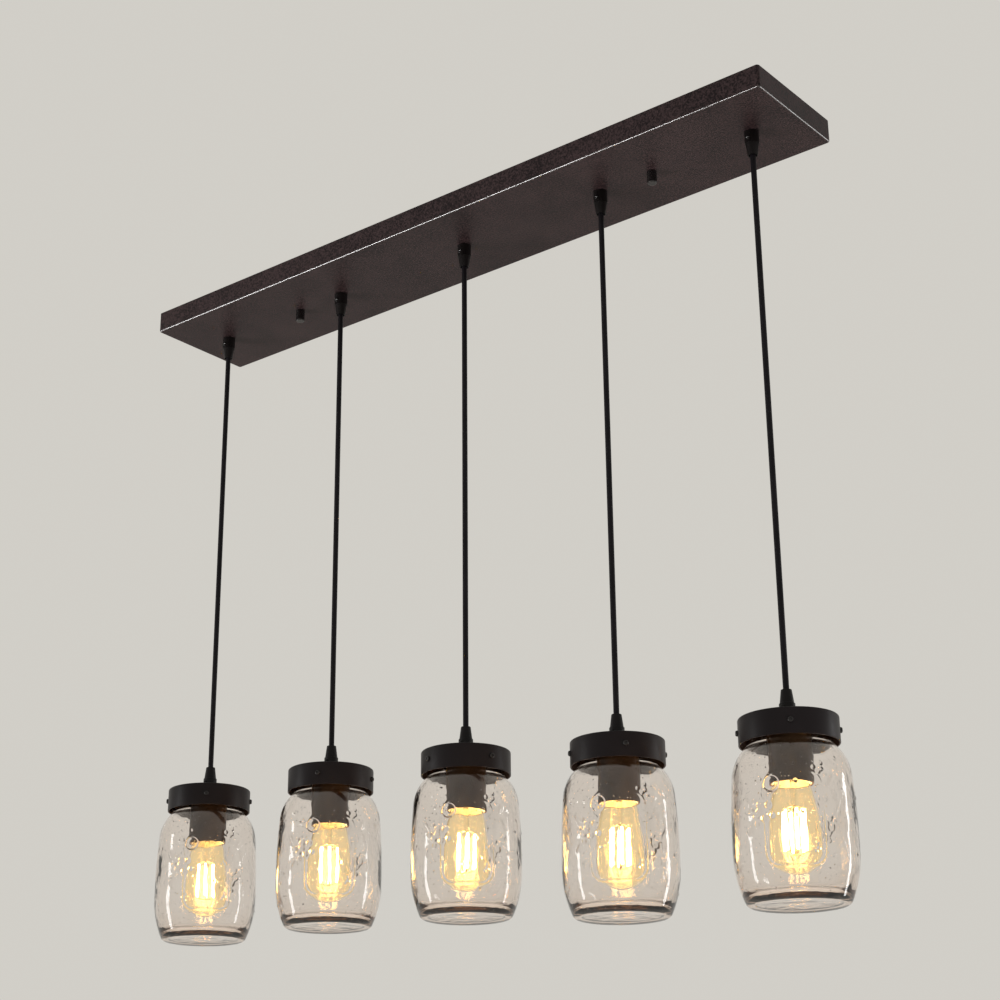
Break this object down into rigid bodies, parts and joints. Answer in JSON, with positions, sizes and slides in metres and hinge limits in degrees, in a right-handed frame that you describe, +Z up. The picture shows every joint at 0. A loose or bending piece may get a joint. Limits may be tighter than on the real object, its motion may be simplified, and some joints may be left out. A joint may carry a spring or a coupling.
{
  "type": "mason jar chandelier",
  "caption": "Linear ceiling canopy with glass jar pendants on black cords, each holding a screw-in filament lamp under a screwed-on metal cap.",
  "frame": {"origin": "middle of the crossbar's ceiling face, at the centre of its two ceiling box slots", "axes": "+X along the canopy, +Z up towards the ceiling, -Y towards the side the picture shows"},
  "size_m": [0.8718, 0.138, 0.8045],
  "materials": {
    "bronze_paint": "fine-textured oil-bronze powder coat",
    "black_paint": "satin black powder coat",
    "black_screw": "blackened steel",
    "black_plastic": "moulded nylon",
    "holder_paint": "smooth dark bronze",
    "cord_black": "smooth round flex",
    "bushing_rubber": "moulded rubber",
    "zinc_steel": "zinc plated",
    "ground_green": "green coated screw",
    "terminal_plastic": "moulded nylon",
    "nickel_brass": "nickel plated",
    "jar_glass": "clear pressed glass with seeds",
    "lamp_glass": "thin clear glass",
    "filament_phosphor": "lit phosphor"
  },
  "bodies": {
    "root": {"canopy": "bronze_paint", "crossbar": "zinc_steel", "crossbar_studs": "zinc_steel", "stud_nuts": "zinc_steel", "cap_nuts": "black_paint", "ground_screw": "ground_green", "canopy_grips": "black_plastic", "grip_nuts": "zinc_steel", "terminal_block": "terminal_plastic", "cord_tails": "cord_black"},
    "bushing_1": {"cord_bushing_1": "bushing_rubber"},
    "cord_line_1": {"cord_1": "cord_black"},
    "pendant_1": {"jar_grip_1": "black_plastic", "jar_cap_1": "black_paint", "cap_screws_1": "black_screw", "lamp_holder_1": "holder_paint", "jar_1": "jar_glass"},
    "bulb_feed_1": {"bulb_base_1": "nickel_brass"},
    "bulb_1": {"bulb_glass_1": "lamp_glass", "filament_1": "filament_phosphor"},
    "bushing_2": {"cord_bushing_2": "bushing_rubber"},
    "cord_line_2": {"cord_2": "cord_black"},
    "pendant_2": {"jar_grip_2": "black_plastic", "jar_cap_2": "black_paint", "cap_screws_2": "black_screw", "lamp_holder_2": "holder_paint", "jar_2": "jar_glass"},
    "bulb_feed_2": {"bulb_base_2": "nickel_brass"},
    "bulb_2": {"bulb_glass_2": "lamp_glass", "filament_2": "filament_phosphor"},
    "bushing_3": {"cord_bushing_3": "bushing_rubber"},
    "cord_line_3": {"cord_3": "cord_black"},
    "pendant_3": {"jar_grip_3": "black_plastic", "jar_cap_3": "black_paint", "cap_screws_3": "black_screw", "lamp_holder_3": "holder_paint", "jar_3": "jar_glass"},
    "bulb_feed_3": {"bulb_base_3": "nickel_brass"},
    "bulb_3": {"bulb_glass_3": "lamp_glass", "filament_3": "filament_phosphor"},
    "bushing_4": {"cord_bushing_4": "bushing_rubber"},
    "cord_line_4": {"cord_4": "cord_black"},
    "pendant_4": {"jar_grip_4": "black_plastic", "jar_cap_4": "black_paint", "cap_screws_4": "black_screw", "lamp_holder_4": "holder_paint", "jar_4": "jar_glass"},
    "bulb_feed_4": {"bulb_base_4": "nickel_brass"},
    "bulb_4": {"bulb_glass_4": "lamp_glass", "filament_4": "filament_phosphor"},
    "bushing_5": {"cord_bushing_5": "bushing_rubber"},
    "cord_line_5": {"cord_5": "cord_black"},
    "pendant_5": {"jar_grip_5": "black_plastic", "jar_cap_5": "black_paint", "cap_screws_5": "black_screw", "lamp_holder_5": "holder_paint", "jar_5": "jar_glass"},
    "bulb_feed_5": {"bulb_base_5": "nickel_brass"},
    "bulb_5": {"bulb_glass_5": "lamp_glass", "filament_5": "filament_phosphor"}
  },
  "joints": [
    {"name": "swing_fore_1", "type": "hinge", "parent": "root", "child": "bushing_1", "pos_m": [-0.38, 0, -0.047], "axis": [1, 0, 0], "range_deg": [-12, 12]},
    {"name": "swing_side_1", "type": "hinge", "parent": "bushing_1", "child": "cord_line_1", "pos_m": [-0.38, 0, -0.047], "axis": [0, 1, 0], "range_deg": [-5, 5]},
    {"name": "height_1", "type": "slide", "parent": "cord_line_1", "child": "pendant_1", "axis": [0, 0, 1], "range_m": [0, 0.3], "deforming": ["cord_1"]},
    {"name": "bulb_travel_1", "type": "slide", "parent": "pendant_1", "child": "bulb_feed_1", "axis": [0, 0, -1], "range_m": [0, 0.0145]},
    {"name": "bulb_turn_1", "type": "hinge", "parent": "bulb_feed_1", "child": "bulb_1", "pos_m": [-0.38, 0, -0.646], "axis": [0, 0, -1], "range_deg": [0, 1440]},
    {"name": "swing_fore_2", "type": "hinge", "parent": "root", "child": "bushing_2", "pos_m": [-0.19, 0, -0.047], "axis": [1, 0, 0], "range_deg": [-12, 12]},
    {"name": "swing_side_2", "type": "hinge", "parent": "bushing_2", "child": "cord_line_2", "pos_m": [-0.19, 0, -0.047], "axis": [0, 1, 0], "range_deg": [-5, 5]},
    {"name": "height_2", "type": "slide", "parent": "cord_line_2", "child": "pendant_2", "axis": [0, 0, 1], "range_m": [0, 0.3], "deforming": ["cord_2"]},
    {"name": "bulb_travel_2", "type": "slide", "parent": "pendant_2", "child": "bulb_feed_2", "axis": [0, 0, -1], "range_m": [0, 0.0145]},
    {"name": "bulb_turn_2", "type": "hinge", "parent": "bulb_feed_2", "child": "bulb_2", "pos_m": [-0.19, 0, -0.651], "axis": [0, 0, -1], "range_deg": [0, 1440]},
    {"name": "swing_fore_3", "type": "hinge", "parent": "root", "child": "bushing_3", "pos_m": [0, 0, -0.047], "axis": [1, 0, 0], "range_deg": [-12, 12]},
    {"name": "swing_side_3", "type": "hinge", "parent": "bushing_3", "child": "cord_line_3", "pos_m": [0, 0, -0.047], "axis": [0, 1, 0], "range_deg": [-5, 5]},
    {"name": "height_3", "type": "slide", "parent": "cord_line_3", "child": "pendant_3", "axis": [0, 0, 1], "range_m": [0, 0.3], "deforming": ["cord_3"]},
    {"name": "bulb_travel_3", "type": "slide", "parent": "pendant_3", "child": "bulb_feed_3", "axis": [0, 0, -1], "range_m": [0, 0.0145]},
    {"name": "bulb_turn_3", "type": "hinge", "parent": "bulb_feed_3", "child": "bulb_3", "pos_m": [0, 0, -0.661], "axis": [0, 0, -1], "range_deg": [0, 1440]},
    {"name": "swing_fore_4", "type": "hinge", "parent": "root", "child": "bushing_4", "pos_m": [0.19, 0, -0.047], "axis": [1, 0, 0], "range_deg": [-12, 12]},
    {"name": "swing_side_4", "type": "hinge", "parent": "bushing_4", "child": "cord_line_4", "pos_m": [0.19, 0, -0.047], "axis": [0, 1, 0], "range_deg": [-5, 5]},
    {"name": "height_4", "type": "slide", "parent": "cord_line_4", "child": "pendant_4", "axis": [0, 0, 1], "range_m": [0, 0.3], "deforming": ["cord_4"]},
    {"name": "bulb_travel_4", "type": "slide", "parent": "pendant_4", "child": "bulb_feed_4", "axis": [0, 0, -1], "range_m": [0, 0.0145]},
    {"name": "bulb_turn_4", "type": "hinge", "parent": "bulb_feed_4", "child": "bulb_4", "pos_m": [0.19, 0, -0.68], "axis": [0, 0, -1], "range_deg": [0, 1440]},
    {"name": "swing_fore_5", "type": "hinge", "parent": "root", "child": "bushing_5", "pos_m": [0.38, 0, -0.047], "axis": [1, 0, 0], "range_deg": [-12, 12]},
    {"name": "swing_side_5", "type": "hinge", "parent": "bushing_5", "child": "cord_line_5", "pos_m": [0.38, 0, -0.047], "axis": [0, 1, 0], "range_deg": [-5, 5]},
    {"name": "height_5", "type": "slide", "parent": "cord_line_5", "child": "pendant_5", "axis": [0, 0, 1], "range_m": [0, 0.3], "deforming": ["cord_5"]},
    {"name": "bulb_travel_5", "type": "slide", "parent": "pendant_5", "child": "bulb_feed_5", "axis": [0, 0, -1], "range_m": [0, 0.0145]},
    {"name": "bulb_turn_5", "type": "hinge", "parent": "bulb_feed_5", "child": "bulb_5", "pos_m": [0.38, 0, -0.689], "axis": [0, 0, -1], "range_deg": [0, 1440]}
  ],
  "couplings": [
    {"joint": "bulb_turn_1", "follows": "bulb_travel_1", "rad_per_m": 1731.4},
    {"joint": "bulb_turn_2", "follows": "bulb_travel_2", "rad_per_m": 1731.4},
    {"joint": "bulb_turn_3", "follows": "bulb_travel_3", "rad_per_m": 1731.4},
    {"joint": "bulb_turn_4", "follows": "bulb_travel_4", "rad_per_m": 1731.4},
    {"joint": "bulb_turn_5", "follows": "bulb_travel_5", "rad_per_m": 1731.4}
  ]
}
